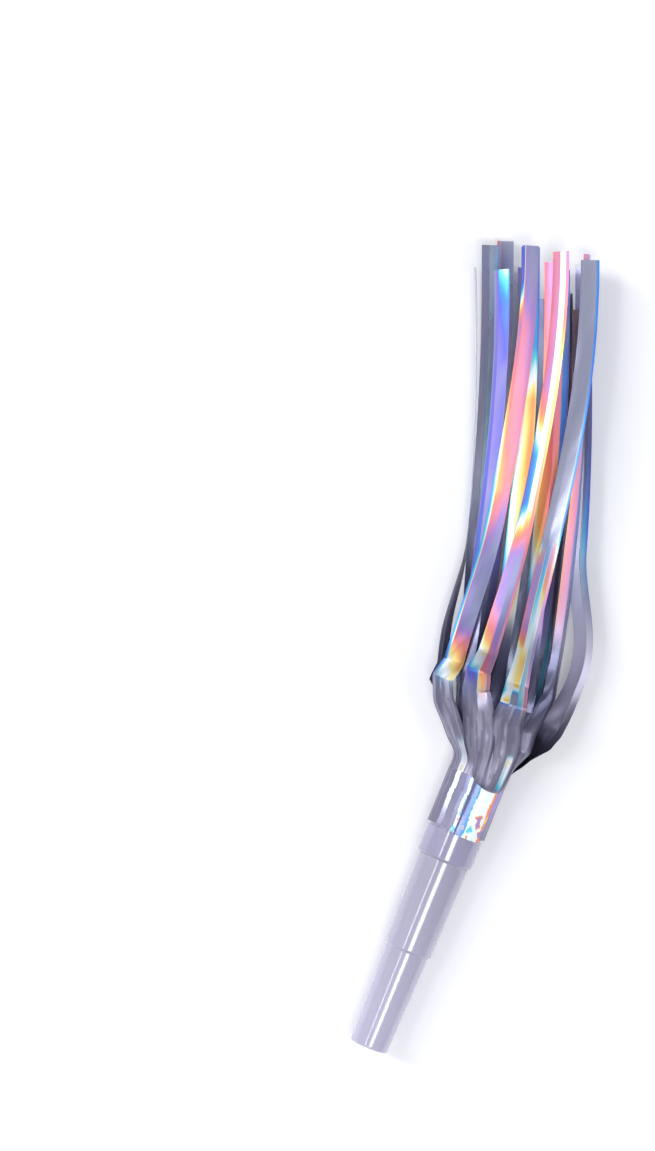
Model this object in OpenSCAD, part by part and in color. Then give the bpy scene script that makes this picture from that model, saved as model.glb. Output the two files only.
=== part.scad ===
// Fringed party horn whistle. The tube's axis is Y, from the lip at zero to the fringe. Z is up.

/* [Mouthpiece] */
// Length from the lip to the seam with the barrel
mouth_l = 34.6; // [30:0.2:42]
// Outer diameter at the lip
lip_d = 6.7; // [6.2:0.1:7.4]
// Distance from the lip to the small step
step_at = 17.8; // [12:0.2:19]
// Outer diameter just below the step
step_low_d = 7.8; // [7.5:0.1:8.2]
// Height of the step
step_h = 0.3; // [0.1:0.05:0.5]
// Outer diameter at the seam
seam_d = 9.1; // [8.9:0.1:9.8]
// Diameter of the blow hole
blow_d = 5.0; // [4:0.1:5.4]
// Length of the straight blow hole
blow_l = 6.0; // [3:0.5:10]
// Wall round the air passage at the step
passage_wall = 1.1; // [0.8:0.05:1.3]
// Rounding of the lip's outer edge
lip_round = 0.5; // [0.2:0.05:0.7]
// Length of the spigot inside the barrel
spigot_l = 5.0; // [3:0.5:7]

/* [Barrel] */
// Outer diameter of the barrel
barrel_d = 10.0; // [9.8:0.1:12]
// Wall of the barrel
barrel_wall = 0.8; // [0.6:0.05:0.9]
// Length of the barrel from the seam to its open mouth
barrel_l = 15.4; // [12:0.2:24]
// Chamfer of the barrel's ends
barrel_chamfer = 0.3; // [0.1:0.05:0.4]
// Depth of the seat turned down for the film
film_seat = 0.25; // [0.2:0.05:0.3]

/* [Reed] */
// Wall of the spigot round the reed base
socket_wall = 0.8; // [0.6:0.05:1]
// Length of the reed base's plug
plug_l = 5.0; // [4:0.2:6]
// Length of the channel that stands out of the plug
shallot_l = 13.0; // [9:0.5:13.5]
// Outer diameter of the half-round channel
shallot_d = 4.6; // [4.2:0.1:5]
// Wall of the half-round channel
shallot_wall = 0.8; // [0.5:0.05:1]
// Width of the reed
reed_w = 4.0; // [3.2:0.1:4.2]
// Thickness of the reed
reed_t = 0.2; // [0.1:0.05:0.3]
// Length of the clamped tail of the reed
tail_l = 3.6; // [2.4:0.2:3.8]
// Height of the wedge that clamps the reed
wedge_h = 1.3; // [0.8:0.1:1.6]
// Angle at which the reed stands open at rest
reed_open = 3.5; // [2:0.5:5]

/* [Film] */
// Thickness of the film as a solid
film_t = 0.12; // [0.1:0.01:0.15]
// Length of barrel left bare below the film
bare_l = 5.6; // [4.6:0.2:8]
// Angle of the film's loose end round the tube, in degrees up from the right
film_end_angle = 42; // [30:1:60]
// Width of the loose bright end, round the tube
flap_w = 5.6; // [3:0.2:7]
// How far the loose end hangs below the collar's edge
flap_skew = 0.5; // [0.1:0.1:1]
// How far the loose end lifts off the turn under it
flap_lift = 0.25; // [0:0.05:0.5]
// Glue between the barrel and the film
glue_t = 0.06; // [0.04:0.01:0.1]
// Margin of film left without glue at each edge
glue_inset = 1.9; // [1.4:0.1:2.6]
// Depth of the collar's lengthwise wrinkles
wrinkle_d = 0.1; // [0:0.02:0.14]

/* [Fringe] */
// Length of a full strip beyond the collar
strip_l = 90.2; // [60.2:1:120.2]
// Width of a strip
strip_w = 3.25; // [2.8:0.05:3.3]
// Half of the fringe's width where it is widest
spread_w = 9.0; // [7:0.2:12]
// Half of the fringe's height where it lies on the table
spread_h = 4.5; // [4:0.1:4.6]
// How far the tips lie to the left of the tube's axis
sweep_w = 23.7; // [0:1:30]
// How far the outer layer of strips stands off the inner one
layer_gap = 1.5; // [1.2:0.1:2]
// How far the upper strips puff up just past the rim
puff_h = 2.4; // [0:0.1:4]

/* [Hidden] */
// Clearance of pressed pieces
snug = 0.02;
// Clearance between two pieces of film that bend apart
bend_gap = 0.1;
// Overrun of every cut
over = 1;
// Strips cut from one whole turn of film
per_turn = 9;
full_turn = 360;
slot_turn = full_turn / per_turn;
bore_d = barrel_d - 2 * barrel_wall;
spigot_d = bore_d - 2 * snug;
socket_d = spigot_d - 2 * socket_wall;
// The reed base seats against a shoulder inside the mouthpiece
shoulder_w = socket_wall / 4;
plug_at = mouth_l + spigot_l - plug_l - socket_wall;
plug_d = socket_d - 2 * snug;
rim_y = mouth_l + barrel_l;
collar_l = barrel_l - bare_l;
collar_at = rim_y - collar_l;
seat_r = barrel_d / 2 - film_seat;
seat_at = collar_at - flap_skew;
wind_r = seat_r + glue_t + snug;
// Film thickness and the air between two turns
wind_air = film_t / 4;
wind_pitch = film_t + wind_air;

// Steps across and along a strip, along the wound film and along its loose end
across = 4;
along = 26;
wind_steps = 110;
flap_steps = 12;

// Wrinkles as shares of their depth: the height they start from, then height, waves a turn, phase
wrinkle_base_share = 0.5;
wrinkle_shares = [[0.2, 5, 0], [0.18, 9, 40], [0.12, 16, 0]];

// Shares of a strip's length over which it drifts, arches flatter, bulges and puffs up, and where
// the further drift to the tip starts
drift_share = 0.5;
curl_share = 0.33;
bulge_share = 0.2;
puff_share = 0.16;
tip_share = 0.3;
// Share of the first step along a strip that runs straight out of the collar
start_share = 0.5;
// Share of the fringe's half width that is lost again towards the tips
narrow_share = 0.04;
// Share of a strip's length at which it is widest, where the strips form a skirt
skirt_share = 0.13;
// The sweep to the left grows as this power of the distance
sweep_power = 1.5;

// One row for each strip: its slot round the rim and its layer of film, its length, the step
// along it where it has opened out and creases, its bulge and the bulge's place, its drift round
// the fringe and further drift to the tip, its twist and the twist's place, its curl across, its
// lift at the tip, the depth of its sharp fold and the step where that fold is, its extra width in
// the skirt, and the length over which it twists. All but the slot, the layer and the steps are
// shares: of a strip's length or width, of the fringe's width or height, or of a turn
right_shares = [
    [6, 0, 0.96, 5, 0.02, 0.30, 0.000, 0.000, 0.02, 0.60, 0.05, 0.00, 0.00, 3, 0.00, 0.40],
    [7, 0, 0.98, 5, 0.00, 0.34, -0.018, 0.000, -0.03, 0.60, 0.07, 0.00, 0.00, 3, 0.05, 0.40],
    [7, 1, 0.90, 4, 0.32, 0.32, -0.004, 0.000, -0.25, 0.13, 0.10, 0.00, 0.20, 3, 0.40, 0.24],
    [6, 1, 0.92, 4, 0.06, 0.26, -0.030, 0.000, 0.02, 0.60, 0.05, 0.00, 0.00, 5, 0.00, 0.40]
];
top_shares = [
    [8, 0, 1.00, 5, 0.02, 0.28, 0.018, 0.000, -0.05, 0.55, 0.08, 0.00, 0.30, 2, 0.35, 0.40],
    [0, 0, 0.96, 4, 0.00, 0.22, 0.026, 0.004, 0.06, 0.50, 0.06, -0.04, -0.35, 3, 0.30, 0.40],
    [1, 0, 0.97, 5, 0.00, 0.18, 0.004, 0.000, -0.05, 0.60, 0.08, 0.00, -0.30, 2, 0.22, 0.40],
    [2, 0, 0.91, 5, 0.00, 0.20, 0.010, -0.050, 0.05, 0.60, 0.05, 0.04, -0.30, 2, 0.15, 0.40],
    [0, 1, 0.99, 3, 0.02, 0.30, -0.025, -0.105, 0.08, 0.66, 0.07, 0.10, 0.40, 4, 0.50, 0.40],
    [1, 1, 0.98, 4, 0.04, 0.24, -0.060, -0.075, 0.12, 0.40, 0.06, 0.30, 0.45, 5, 0.55, 0.40],
    [2, 1, 0.97, 3, 0.04, 0.24, -0.090, -0.077, -0.10, 0.12, 0.08, 0.16, 0.42, 4, 0.20, 0.24]
];
left_shares = [
    [3, 0, 0.95, 6, -0.04, 0.30, 0.016, 0.000, 0.16, 0.30, 0.07, 0.00, -0.25, 4, 0.00, 0.40],
    [4, 0, 0.97, 5, 0.04, 0.22, 0.000, 0.000, 0.02, 0.60, 0.05, 0.00, 0.00, 3, 0.00, 0.40],
    [5, 0, 0.94, 4, 0.02, 0.18, 0.000, 0.000, -0.02, 0.60, 0.05, 0.00, 0.00, 3, 0.00, 0.40],
    [3, 1, 0.90, 4, 0.20, 0.26, 0.000, -0.005, -0.10, 0.36, 0.08, 0.00, 0.40, 4, 0.30, 0.40],
    [4, 1, 0.92, 3, 0.10, 0.26, 0.000, -0.010, 0.05, 0.60, 0.05, 0.00, 0.20, 2, 0.00, 0.40],
    [5, 1, 0.89, 3, 0.04, 0.24, 0.000, 0.000, -0.02, 0.60, 0.05, 0.00, 0.00, 3, 0.00, 0.40]
];

function tuft_names(side, rows) = [for (i = [1 : len(rows)]) str("strip_", side, "_", i)];
right_names = tuft_names("right", right_shares);
top_names = tuft_names("top", top_shares);
left_names = tuft_names("left", left_shares);
strip_names = concat(right_names, top_names, left_names);
strip_shares = concat(right_shares, top_shares, left_shares);

// The film is as long as its strips are wide together
total_a = len(strip_shares) * slot_turn;
outer_r = wind_r + wind_pitch * total_a / full_turn + wrinkle_d;

$fn = 64;

function mix(a, b, t) = a + (b - a) * t;
function ease(t) = let (u = max(0, min(1, t))) u * u * (3 - 2 * u);
function bump(t, at, half) = ease(1 - abs(t - at) / half);

// Turns a profile of [radius, distance along Y] points round the Y axis
module turned(points) {
    rotate([-90, 0, 0]) rotate_extrude() polygon(points);
}

module along_y(from, length) {
    translate([0, from, 0]) rotate([-90, 0, 0]) linear_extrude(length) children();
}

// Tapered tube with a small step, a rounded lip and a spigot for the barrel
module mouthpiece() {
    lip_r = lip_d / 2;
    step_low_r = step_low_d / 2;
    step_high_r = step_low_r + step_h;
    round_steps = 6;
    lip_arc = [for (i = [0 : round_steps]) let (a = 90 * i / round_steps)
        [lip_r - lip_round * (1 - sin(a)), lip_round * (1 - cos(a))]];
    passage_r = step_high_r - passage_wall;
    color([0.82, 0.82, 0.88, 0.8]) turned(concat(
        [[blow_d / 2, 0]],
        lip_arc,
        [[step_low_r, step_at],
         [step_high_r, step_at + step_h],
         [seam_d / 2, mouth_l],
         [spigot_d / 2, mouth_l],
         [spigot_d / 2, mouth_l + spigot_l],
         [socket_d / 2, mouth_l + spigot_l],
         [socket_d / 2, plug_at],
         [socket_d / 2 - shoulder_w, plug_at],
         [passage_r, step_at],
         [blow_d / 2, blow_l]]
    ));
}

// Open horn tube that grips the spigot and carries the film
module barrel() {
    r = barrel_d / 2;
    color([0.84, 0.84, 0.9, 0.7]) turned([
        [bore_d / 2, mouth_l],
        [r - barrel_chamfer, mouth_l],
        [r, mouth_l + barrel_chamfer],
        [r, seat_at],
        [seat_r, seat_at],
        [seat_r, rim_y - barrel_chamfer],
        [seat_r - barrel_chamfer, rim_y],
        [bore_d / 2, rim_y]
    ]);
}

// Lower half of a round bar or bore along Y
module half_round(d, from, length) {
    along_y(from, length) intersection() {
        circle(d = d);
        translate([-d / 2, 0]) square([d, d / 2]);
    }
}

// Plug with a half-round channel that the reed closes
module reed_base() {
    channel_d = shallot_d - 2 * shallot_wall;
    color("white") difference() {
        union() {
            along_y(plug_at, plug_l) circle(d = plug_d);
            half_round(shallot_d, plug_at - shallot_l, shallot_l + over);
        }
        half_round(channel_d, plug_at - shallot_l + shallot_wall, shallot_l + plug_l + over);
        translate([-reed_w / 2 - snug, plug_at - over, 0])
            cube([reed_w + 2 * snug, tail_l + snug + over, reed_t + wedge_h + 3 * snug]);
    }
}

// Clamped end of the reed, in the plug's pocket
module reed_tail() {
    color("gold") translate([-reed_w / 2, plug_at, snug]) cube([reed_w, tail_l, reed_t]);
}

// Free tongue of the reed, which stands a little open over the channel
module reed_tongue() {
    tongue_l = shallot_l - bend_gap;
    tip_r = reed_w / 4;
    color("gold")
        translate([0, plug_at - bend_gap, snug])
        rotate([-reed_open, 0, 0])
        translate([-reed_w / 2, -tongue_l, 0])
        linear_extrude(reed_t) hull() {
            translate([tip_r, tip_r]) circle(tip_r, $fn = 32);
            translate([reed_w - tip_r, tip_r]) circle(tip_r, $fn = 32);
            translate([0, tongue_l - tip_r]) square([reed_w, tip_r]);
        }
}

// Wedge pressed into the pocket above the reed's tail
module reed_wedge() {
    nose = wedge_h / 4;
    color("silver")
        translate([reed_w / 2, plug_at, reed_t + 2 * snug])
        rotate([0, -90, 0])
        linear_extrude(reed_w)
        polygon([[0, 0], [wedge_h - nose, 0], [wedge_h, nose], [wedge_h, tail_l], [0, tail_l]]);
}

// Glue between barrel and film
module glue_band() {
    color("khaki") along_y(collar_at + glue_inset, collar_l - 2 * glue_inset) difference() {
        circle(r = seat_r + glue_t);
        circle(r = seat_r);
    }
}

// Height of the collar's wrinkles at an angle, the same in every turn
function total(v, i = 0) = i < len(v) ? v[i] + total(v, i + 1) : 0;
function wrinkle(a) =
    wrinkle_d * (wrinkle_base_share + total([for (w = wrinkle_shares) w[0] * sin(w[1] * a + w[2])]));

// Radius of the film's inner face, by the angle wound so far and the angle round the tube
function wind_radius(wound, a) = wind_r + wrinkle(a) + wind_pitch * wound / full_turn;

// Point on the wound film, in the profile plane that along_y stands up
function wind_point(wound, offset) = let (
    a = film_end_angle + total_a - wound,
    r = wind_radius(wound, a) + offset
) [r * cos(a), -r * sin(a)];

// Outline of a stretch of the spiral, lifting off by lift at its end
function wind_band(from, to, steps, lift) = concat(
    [for (i = [0 : steps]) wind_point(mix(from, to, i / steps), lift * i / steps)],
    [for (i = [steps : -1 : 0]) wind_point(mix(from, to, i / steps), film_t + lift * i / steps)]
);

// Film wound round the barrel in a spiral, with wrinkles and a loose bright end
module film_collar() {
    flap_a = flap_w / outer_r * 180 / PI;
    color([0.62, 0.64, 0.78]) {
        along_y(collar_at, collar_l) polygon(wind_band(0, total_a - flap_a, wind_steps, 0));
        along_y(collar_at - flap_skew, collar_l + flap_skew)
            polygon(wind_band(total_a - flap_a, total_a, flap_steps, flap_lift));
    }
}

function slot_angle(row) = film_end_angle + (row[0] + 0.5) * slot_turn;

// How much film is wound below a strip's root: part of a turn for its slot, and a turn if outer
function root_wound(row) =
    (total_a + full_turn - (row[0] + 0.5) * slot_turn) % full_turn + full_turn * row[1];

// How far a strip has opened out from the rim, from none to one, after a short straight start
function opened(row, t) = max(0, min(1, (t * along - start_share) / (row[3] - start_share)));

// A strip of the outer layer moves over the cut between two inner ones as it opens
function strip_angle(row, t) = slot_angle(row) + row[1] * opened(row, t) * slot_turn / 2
    + full_turn * (row[6] * ease(t / drift_share) + row[7] * ease((t - tip_share) / (1 - tip_share)));

// Centre of a strip at share t of its length, round an oval that widens, sinks and sweeps left
function strip_centre(row, t) = let (
    layer = row[1],
    angle = strip_angle(row, t),
    open = opened(row, t),
    root_r = wind_radius(root_wound(row), slot_angle(row)) + film_t / 2,
    upper = sin(angle) > 0 ? 1 : 0,
    top_h = spread_h * (1 + row[11] * ease(t)) + layer * layer_gap,
    low_h = outer_r - (1 - layer) * layer_gap / 2 - 2 * film_t,
    high = mix(root_r, mix(low_h, top_h, upper), open),
    wide = mix(root_r, spread_w + layer * layer_gap, open) - t * spread_w * narrow_share,
    bulge = row[4] * spread_w * bump(t, row[5], bulge_share),
    fold = row[12] * strip_w * max(0, 1 - abs(t * along - row[13])),
    puff = puff_h * bump(t, puff_share, puff_share) * upper
) [
    (wide + bulge + fold) * cos(angle) - sweep_w * pow(max(t, 0), sweep_power),
    rim_y + bend_gap + strip_l * row[2] * t,
    (high + puff + (bulge + fold) * upper) * sin(angle)
];

// Direction across a strip, round the fringe's oval, turned by the strip's own twist
function strip_across(row, t) = let (
    angle = strip_angle(row, t),
    wide = mix(1, spread_w / spread_h, opened(row, t)),
    base = atan2(cos(angle), -wide * sin(angle)),
    twist = full_turn * row[8] * ease((t - row[9]) / row[15] + 0.5)
) [cos(base + twist), 0, sin(base + twist)];

// Width of a strip, which fills the skirt above the collar before it narrows
function strip_width(row, t) = strip_w * (1 + row[14] * bump(t, skirt_share, skirt_share));

function unit(v) = v / norm(v);

// One cross-section of a strip: a shallow arch of film, as points round its edge
function strip_ring(row, t) = let (
    step = 1 / (along * across),
    centre = strip_centre(row, t),
    ahead = unit(strip_centre(row, t + step) - strip_centre(row, t - step)),
    flat = strip_across(row, t),
    side = unit(flat - (flat * ahead) * ahead),
    out = cross(ahead, side),
    width = strip_width(row, t),
    curl = width * mix(width / (8 * wind_r), row[10], ease(t / curl_share))
) concat(
    [for (j = [0 : across]) let (u = 2 * j / across - 1)
        centre + side * (u * width / 2) + out * (film_t / 2 - curl * u * u)],
    [for (j = [0 : across]) let (u = 1 - 2 * j / across)
        centre + side * (u * width / 2) + out * (-film_t / 2 - curl * u * u)]
);

// A strip of film swept along its own path from the collar to its tip. Both faces are split
// along the same diagonals, so they stay apart where the strip twists
module fringe_strip(row) {
    ring = 2 * (across + 1);
    points = [for (i = [0 : along]) each strip_ring(row, i / along)];
    walls = [for (i = [0 : along - 1], j = [0 : ring - 1]) let (
        a = i * ring + j,
        b = i * ring + (j + 1) % ring
    ) each j < across
        ? [[a, b, b + ring], [a, b + ring, a + ring]]
        : [[a, b, a + ring], [b, b + ring, a + ring]]];
    root_cap = [for (j = [0 : across - 1]) each
        [[j + 1, j, ring - 1 - j], [j + 1, ring - 1 - j, ring - 2 - j]]];
    last = along * ring;
    tip_cap = [for (f = root_cap) [f[2] + last, f[1] + last, f[0] + last]];
    color([0.6, 0.62, 0.78]) polyhedron(points, concat(walls, root_cap, tip_cap));
}

mouthpiece();
barrel();
reed_base();
reed_tail();
reed_tongue();
reed_wedge();
glue_band();
film_collar();
for (i = [0 : len(strip_names) - 1])
    fringe_strip(strip_shares[i]);
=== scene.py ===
import math
import random
from collections import namedtuple

import bpy
import numpy as np
from mathutils import Matrix, Vector


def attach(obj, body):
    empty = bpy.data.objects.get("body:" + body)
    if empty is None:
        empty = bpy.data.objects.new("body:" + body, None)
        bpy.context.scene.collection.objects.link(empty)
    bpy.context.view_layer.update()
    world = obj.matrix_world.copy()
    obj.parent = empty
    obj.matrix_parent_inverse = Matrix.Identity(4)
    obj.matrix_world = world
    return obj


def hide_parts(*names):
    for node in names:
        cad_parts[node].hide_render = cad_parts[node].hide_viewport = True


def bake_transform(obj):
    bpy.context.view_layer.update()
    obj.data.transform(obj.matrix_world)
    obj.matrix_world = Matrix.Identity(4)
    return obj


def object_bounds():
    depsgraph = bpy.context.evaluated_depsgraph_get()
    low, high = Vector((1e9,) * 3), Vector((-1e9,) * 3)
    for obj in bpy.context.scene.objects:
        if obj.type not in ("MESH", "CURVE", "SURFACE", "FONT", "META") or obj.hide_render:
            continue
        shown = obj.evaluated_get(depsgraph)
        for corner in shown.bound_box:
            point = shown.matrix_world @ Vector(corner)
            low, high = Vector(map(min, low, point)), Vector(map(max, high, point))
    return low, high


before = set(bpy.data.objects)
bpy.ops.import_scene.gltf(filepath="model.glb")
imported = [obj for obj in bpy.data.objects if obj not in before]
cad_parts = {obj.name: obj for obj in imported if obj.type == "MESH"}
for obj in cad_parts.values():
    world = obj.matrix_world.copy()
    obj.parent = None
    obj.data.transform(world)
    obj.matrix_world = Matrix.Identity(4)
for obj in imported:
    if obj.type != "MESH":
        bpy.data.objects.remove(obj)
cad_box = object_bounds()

MM = 0.001

# Mouthpiece, sized as in its construction
MOUTH_L = 34.6 * MM
LIP_D = 6.7 * MM
LIP_ROUND = 0.5 * MM
STEP_AT = 17.8 * MM
STEP_LOW_D = 7.8 * MM
STEP_H = 0.3 * MM
SEAM_D = 9.1 * MM
BLOW_D = 5.0 * MM
BLOW_L = 6.0 * MM
PASSAGE_WALL = 1.1 * MM
SPIGOT_L = 5.0 * MM
SOCKET_WALL = 0.8 * MM
PLUG_L = 5.0 * MM
# Play between pieces that sit in or on each other
SNUG = 0.02 * MM

# Barrel
BARREL_D = 10.0 * MM
BARREL_WALL = 0.8 * MM
BARREL_L = 15.4 * MM
BARREL_CHAMFER = 0.3 * MM
FILM_SEAT = 0.25 * MM

# Both are turned in this many steps, and their corners are rounded by this radius or by a multiple of it
TURN_STEPS = 128
CORNER_STEPS = 5
CORNER_R = 0.1 * MM
# A corner takes no more than this share of a side, and the points beyond it lie this many times as far off
CORNER_MOST_SHARE = 0.45
CORNER_BEYOND = 1.08

# Film collar
FILM_T = 0.12 * MM
BARE_L = 5.6 * MM
COLLAR_L = BARREL_L - BARE_L
FILM_END_ANGLE = 42
FLAP_W = 5.6 * MM
FLAP_SKEW = 0.5 * MM
FLAP_LIFT = 0.25 * MM
GLUE_T = 0.06 * MM
# Its wrinkles' depth, and their waves as (share of the depth, waves a turn, phase in degrees)
WRINKLE_D = 0.1 * MM
WRINKLE_BASE_SHARE = 0.5
WRINKLES = ((0.2, 5, 0), (0.18, 9, 40), (0.12, 16, 0))

# Strips, and the paths on which they stand out of the collar
PER_TURN = 9
SLOT_TURN = 360 / PER_TURN
STRIP_L = 90.2 * MM
STRIP_W = 3.25 * MM
SPREAD_W = 9.0 * MM
SPREAD_H = 4.5 * MM
LAYER_GAP = 1.5 * MM
PUFF_H = 2.4 * MM
BEND_GAP = 0.1 * MM
# The strips sweep to the left, by this much at the tip and growing as this power of the distance
SWEEP_W = 23.7 * MM
SWEEP_POWER = 1.5
# Steps of the solid along a strip, and the share of the first one that runs straight out of the collar
ALONG = 26
START_SHARE = 0.5
# Shares of a strip's length over which it drifts, arches flatter, bulges and puffs up, where its further
# drift to the tip starts, and where it is widest
DRIFT_SHARE = 0.5
CURL_SHARE = 0.33
BULGE_SHARE = 0.2
PUFF_SHARE = 0.16
TIP_SHARE = 0.3
SKIRT_SHARE = 0.13
# Share of the fringe's half width that is lost again towards the tips
NARROW_SHARE = 0.04

# What lays out each strip: its slot round the rim and its layer of film, its length, the step where it has
# opened out, its bulge and the bulge's place, its drift and further drift to the tip, its twist and the
# twist's place, its curl across, its lift at the tip, its sharp fold and the fold's step, its extra width in
# the skirt and the length over which it twists. All but the slot, the layer and the steps are shares: of a
# strip's length or width, of the fringe's width or height, or of a turn
StripRow = namedtuple("StripRow", "slot layer length open_step bulge bulge_at drift tip_drift twist twist_at "
                                  "curl lift fold fold_step skirt_gain twist_l")
STRIPS = {
    "right": [
        (6, 0, 0.96, 5, 0.02, 0.30, 0.000, 0.000, 0.02, 0.60, 0.05, 0.00, 0.00, 3, 0.00, 0.40),
        (7, 0, 0.98, 5, 0.00, 0.34, -0.018, 0.000, -0.03, 0.60, 0.07, 0.00, 0.00, 3, 0.05, 0.40),
        (7, 1, 0.90, 4, 0.32, 0.32, -0.004, 0.000, -0.25, 0.13, 0.10, 0.00, 0.20, 3, 0.40, 0.24),
        (6, 1, 0.92, 4, 0.06, 0.26, -0.030, 0.000, 0.02, 0.60, 0.05, 0.00, 0.00, 5, 0.00, 0.40),
    ],
    "top": [
        (8, 0, 1.00, 5, 0.02, 0.28, 0.018, 0.000, -0.05, 0.55, 0.08, 0.00, 0.30, 2, 0.35, 0.40),
        (0, 0, 0.96, 4, 0.00, 0.22, 0.026, 0.004, 0.06, 0.50, 0.06, -0.04, -0.35, 3, 0.30, 0.40),
        (1, 0, 0.97, 5, 0.00, 0.18, 0.004, 0.000, -0.05, 0.60, 0.08, 0.00, -0.30, 2, 0.22, 0.40),
        (2, 0, 0.91, 5, 0.00, 0.20, 0.010, -0.050, 0.05, 0.60, 0.05, 0.04, -0.30, 2, 0.15, 0.40),
        (0, 1, 0.99, 3, 0.02, 0.30, -0.025, -0.105, 0.08, 0.66, 0.07, 0.10, 0.40, 4, 0.50, 0.40),
        (1, 1, 0.98, 4, 0.04, 0.24, -0.060, -0.075, 0.12, 0.40, 0.06, 0.30, 0.45, 5, 0.55, 0.40),
        (2, 1, 0.97, 3, 0.04, 0.24, -0.090, -0.077, -0.10, 0.12, 0.08, 0.16, 0.42, 4, 0.20, 0.24),
    ],
    "left": [
        (3, 0, 0.95, 6, -0.04, 0.30, 0.016, 0.000, 0.16, 0.30, 0.07, 0.00, -0.25, 4, 0.00, 0.40),
        (4, 0, 0.97, 5, 0.04, 0.22, 0.000, 0.000, 0.02, 0.60, 0.05, 0.00, 0.00, 3, 0.00, 0.40),
        (5, 0, 0.94, 4, 0.02, 0.18, 0.000, 0.000, -0.02, 0.60, 0.05, 0.00, 0.00, 3, 0.00, 0.40),
        (3, 1, 0.90, 4, 0.20, 0.26, 0.000, -0.005, -0.10, 0.36, 0.08, 0.00, 0.40, 4, 0.30, 0.40),
        (4, 1, 0.92, 3, 0.10, 0.26, 0.000, -0.010, 0.05, 0.60, 0.05, 0.00, 0.20, 2, 0.00, 0.40),
        (5, 1, 0.89, 3, 0.04, 0.24, 0.000, 0.000, -0.02, 0.60, 0.05, 0.00, 0.00, 3, 0.00, 0.40),
    ],
}

# Sizes and places worked out from those above
BORE_D = BARREL_D - 2 * BARREL_WALL
SPIGOT_D = BORE_D - 2 * SNUG
SOCKET_D = SPIGOT_D - 2 * SOCKET_WALL
SHOULDER_W = SOCKET_WALL / 4
RIM_Y = MOUTH_L + BARREL_L
COLLAR_AT = RIM_Y - COLLAR_L
PLUG_AT = MOUTH_L + SPIGOT_L - PLUG_L - SOCKET_WALL
SEAT_R = BARREL_D / 2 - FILM_SEAT
SEAT_AT = COLLAR_AT - FLAP_SKEW
TOTAL_A = SLOT_TURN * sum(len(rows) for rows in STRIPS.values())
WIND_R = SEAT_R + GLUE_T + SNUG
WIND_AIR = FILM_T / 4
WIND_PITCH = FILM_T + WIND_AIR
OUTER_R = WIND_R + WIND_PITCH * TOTAL_A / 360 + WRINKLE_D
FLAP_A = math.degrees(FLAP_W / OUTER_R)
STRIP_HALF_A = math.degrees(STRIP_W / 2 / WIND_R)
TABLE_Z = cad_box[0][2]

# The film as it is seen: thinner than the solid that stands for it, and in steps of its own, which lie
# closer together near the collar
SHEET_T = 0.05 * MM
SHEET_ALONG = ALONG * 7
SHEET_ACROSS = 16
ROW_POWER = 1.25
COLLAR_AROUND = 560
COLLAR_DOWN = 26
ACROSS = [2 * j / SHEET_ACROSS - 1 for j in range(SHEET_ACROSS + 1)]
# The angle in degrees from which an edge is seen as a crease, in the film and elsewhere
FILM_SHARP = 8
PLAIN_SHARP = 30
# Seeds of the random folds: the collar's, and the first strip's with the step to each next strip's
COLLAR_SEED = 5
STRIP_SEED = 3
SEED_STEP = 7

# Folds and shades of the strips. A change is given as its start and its length, and a bump as its middle
# and its half width, in shares of the strip's length unless its comment says otherwise

# The skirt is the crushed film between the collar and the waist, and this change ends it
SKIRT_END = (0.11, 0.07)
# Depth of the crumples far from the skirt and in it, and the changes that start and end the deep ones
CRUSH_FAR = 0.025 * MM
CRUSH_NEAR = 0.18 * MM
CRUSH_START = (0, 0.04)
CRUSH_END = (0.16, 0.16)
# How many times as deep the skirt's pleats are, and the triangles of the crumples and of the pleats, as
# shares of the strip's length and of its half width
PLEAT_GAIN = 1.6
CRUMPLE_CELL = (0.034, 0.8)
PLEAT_CELL = (0.09, 0.36)
# How much wider the film is seen where the strips lap over one another, a bump
SKIRT_LAP = 1.3 * MM
LAP_SPAN = (0.07, 0.09)
# Where a strip has left the roll of the collar, where its creases are full, and the part of the row's curl
# that is seen
MORPH_SHARE = 0.06
CREASE_SHARE = 1 / 6
CURL_GAIN = 0.4
# Strips that weren't crushed with the rest, the little that they were, and the painted shade of the faces
# beside their one fold, near the collar and, after a change, further on
FLAT_STRIPS = ("strip_right_3",)
FLAT_CRUSH = 0.1
FOLD_SHADES = (0.8, 0.36)
FOLD_FAR_SHADE = 0.75
FOLD_END = (0.3, 0.2)

# The lobe of film that hangs over the collar's edge: the slots and layers of its strips, its middle and
# half width round the tube in degrees, its length of film, how far it hangs back and stands out, and, in
# shares of its length, the changes that start and end it
LOBE_STRIPS = ((0, 1), (1, 1), (8, 0))
LOBE_AT = 62
LOBE_HALF = 44
LOBE_L = 5 * MM
LOBE_BACK = 5 * MM
LOBE_OUT = 0.9 * MM
LOBE_START = (0, 0.5)
LOBE_END = (0.5, 1.2)

# Painted shade on the strips, and painted sheen that they lose. At the waist they cross: the bump, then the
# painted shade that the inner and the outer layer get there, and the painted sheen that they lose there
WAIST = (0.20, 0.16)
WAIST_DARK = (0.8, 0.25)
WAIST_CALM = (0.8, 0)
# Above the waist a painted dark reflection of the film round them, a bump
DUSK = (0.36, 0.22)
DUSK_DARK = 0.42
# At the root a little painted shade, and the change that ends it
ROOT_DARK = 0.16
ROOT_END = (0, 1 / 3)
# In the skirt hardly any painted sheen shows, and painted shade darkens film without sheen more than film
# with it
SKIRT_CALM = 0.9
SKIRT_DARK = (0.46, 0.1)
# In the skirt each triangle of the pleats gets its own painted light and shade, as lit and shaded facets,
# sheared across the strip
FACET_SHADE_GAIN = 0.32
FACET_SHADE_SHEAR = 0.03
# Painted shadow in the gaps between the skirt's strips: a change across the strip, in shares of its half
# width, and one along it
SLIT = (0.7, 0.3)
SLIT_START = (0, 0.05)
SLIT_DARK = 0.65
# Dullness of film without colour beyond the skirt, and what a strip that wasn't crushed, which is all dull
# near the collar, loses of it further on
PLAIN_DULL = 0.45
FLAT_GLOSS = 0.6
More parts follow.
